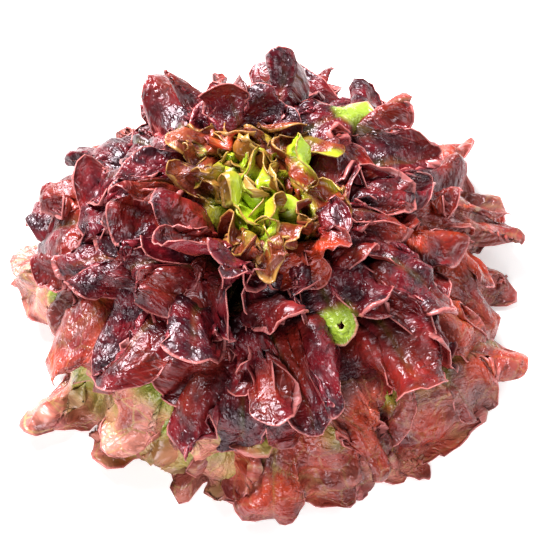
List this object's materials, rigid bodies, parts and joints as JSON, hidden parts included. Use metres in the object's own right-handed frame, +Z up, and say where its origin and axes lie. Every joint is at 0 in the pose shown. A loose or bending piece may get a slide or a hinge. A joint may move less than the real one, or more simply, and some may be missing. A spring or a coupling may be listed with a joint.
{
  "type": "head of red oakleaf lettuce",
  "caption": "Loose open head of red oakleaf lettuce: lobed, curled leaves in a golden-angle spiral on a short cut stem, standing on its cut face.",
  "frame": {"origin": "middle of the stem's flat cut face, which the head stands on", "axes": "+Z up along the stem, away from the cut face; +X and +Y horizontal; the oldest leaf points 252 degrees round from +X"},
  "size_m": [0.2797, 0.2777, 0.1082],
  "materials": {
    "heart_leaf": "crinkled leaf, bright yellow-green, satin",
    "inner_leaf": "blistered leaf, dark red, glossy",
    "middle_leaf": "blistered leaf, burgundy, glossy",
    "outer_leaf": "leaf, red-brown to olive with a green midrib, satin",
    "stem": "cut stem, pale green-white, matt"
  },
  "bodies": {
    "root": {"stem_core": "stem", "heart_leaf_01": "heart_leaf", "heart_leaf_02": "heart_leaf", "heart_leaf_03": "heart_leaf", "heart_leaf_04": "heart_leaf", "heart_leaf_05": "heart_leaf", "heart_leaf_06": "heart_leaf", "heart_leaf_07": "heart_leaf", "heart_leaf_08": "heart_leaf", "heart_leaf_09": "heart_leaf", "heart_leaf_10": "heart_leaf", "inner_leaf_01": "inner_leaf", "inner_leaf_02": "inner_leaf", "inner_leaf_03": "inner_leaf", "inner_leaf_04": "inner_leaf", "inner_leaf_05": "inner_leaf", "inner_leaf_06": "inner_leaf", "inner_leaf_07": "inner_leaf", "inner_leaf_08": "inner_leaf", "inner_leaf_09": "inner_leaf", "inner_leaf_10": "inner_leaf", "inner_leaf_11": "inner_leaf", "inner_leaf_12": "inner_leaf", "inner_leaf_13": "inner_leaf", "inner_leaf_14": "inner_leaf", "inner_leaf_15": "inner_leaf", "inner_leaf_16": "inner_leaf", "middle_leaf_01": "middle_leaf", "middle_leaf_02": "middle_leaf", "middle_leaf_03": "middle_leaf", "middle_leaf_04": "middle_leaf", "middle_leaf_05": "middle_leaf", "middle_leaf_06": "middle_leaf", "middle_leaf_07": "middle_leaf", "middle_leaf_08": "middle_leaf", "middle_leaf_09": "middle_leaf", "middle_leaf_10": "middle_leaf", "middle_leaf_11": "middle_leaf", "middle_leaf_12": "middle_leaf", "middle_leaf_13": "middle_leaf", "middle_leaf_14": "middle_leaf", "middle_leaf_15": "middle_leaf", "middle_leaf_16": "middle_leaf", "outer_leaf_01": "outer_leaf", "outer_leaf_02": "outer_leaf", "outer_leaf_03": "outer_leaf", "outer_leaf_04": "outer_leaf", "outer_leaf_05": "outer_leaf", "outer_leaf_06": "outer_leaf", "outer_leaf_07": "outer_leaf", "outer_leaf_08": "outer_leaf", "outer_leaf_09": "outer_leaf", "outer_leaf_10": "outer_leaf", "outer_leaf_11": "outer_leaf", "outer_leaf_12": "outer_leaf", "outer_leaf_13": "outer_leaf", "outer_leaf_14": "outer_leaf", "outer_leaf_15": "outer_leaf", "outer_leaf_16": "outer_leaf"}
  },
  "joints": []
}
